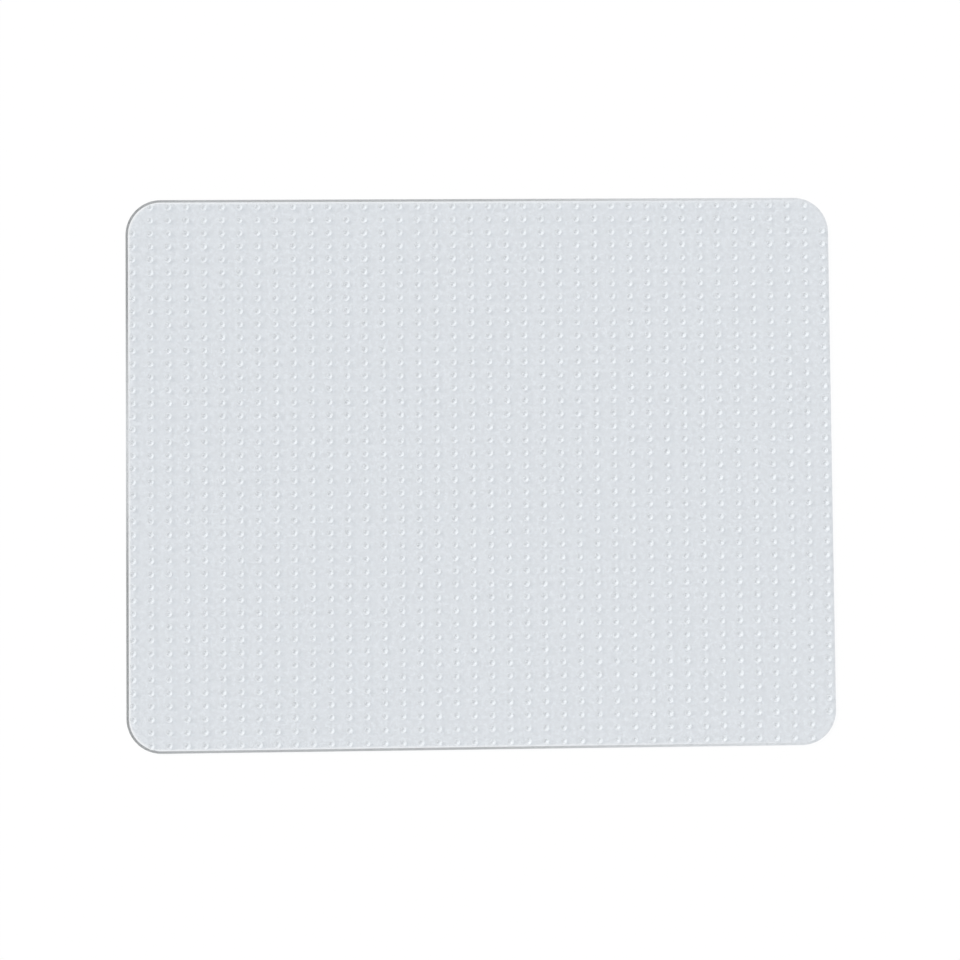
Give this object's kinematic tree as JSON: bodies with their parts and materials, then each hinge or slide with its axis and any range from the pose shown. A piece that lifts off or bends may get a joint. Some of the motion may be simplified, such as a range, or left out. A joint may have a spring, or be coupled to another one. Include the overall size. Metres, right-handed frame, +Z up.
{
  "type": "chair mat",
  "caption": "Flat rectangular clear vinyl chair mat with rounded corners and a bevelled edge, gripping carpet with rows of short conical studs on its underside.",
  "frame": {"origin": "centre of the mat, on the floor under the stud tips", "axes": "+X along the mat's length, +Y across its width, +Z up"},
  "size_m": [1.172, 0.914, 0.007],
  "materials": {
    "clear_vinyl": "satin, see-through"
  },
  "bodies": {
    "root": {"wear_sheet": "clear_vinyl", "grip_sheet": "clear_vinyl"}
  },
  "joints": []
}
